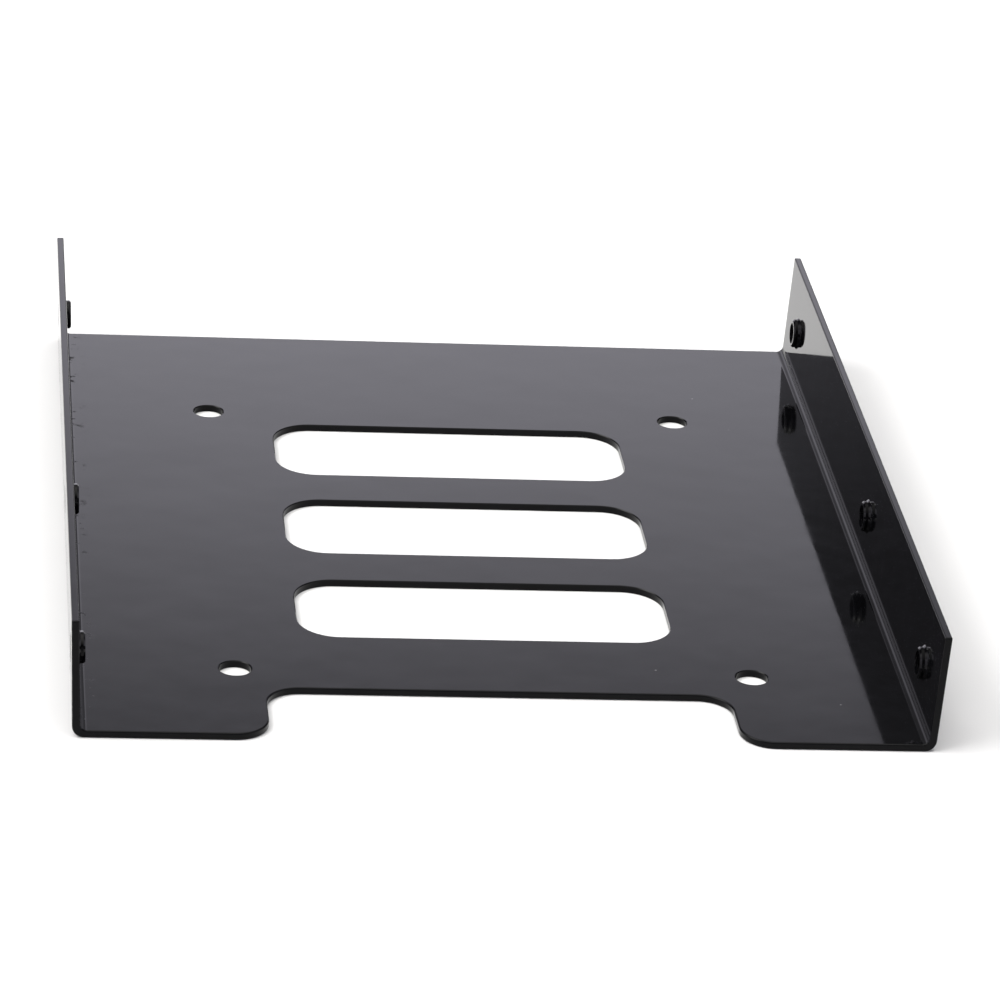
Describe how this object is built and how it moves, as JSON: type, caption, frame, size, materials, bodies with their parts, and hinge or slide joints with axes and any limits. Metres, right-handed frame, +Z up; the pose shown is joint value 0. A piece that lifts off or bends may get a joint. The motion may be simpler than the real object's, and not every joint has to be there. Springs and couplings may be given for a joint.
{
  "type": "drive bay adapter bracket",
  "caption": "Shallow folded sheet-metal tray that carries a small drive in a larger drive bay, with windows, a notched front edge and tapped collars in its side walls.",
  "frame": {"origin": "middle of the flat underside, halfway between the front and back edges and between the side walls", "axes": "+X across the bracket towards the wall on the picture's right, +Y from the notched front edge to the back edge, +Z up from the underside to the open top"},
  "size_m": [0.1016, 0.1194, 0.0148],
  "materials": {
    "black_paint": "satin"
  },
  "bodies": {
    "root": {"drive_bay_bracket": "black_paint"}
  },
  "joints": []
}
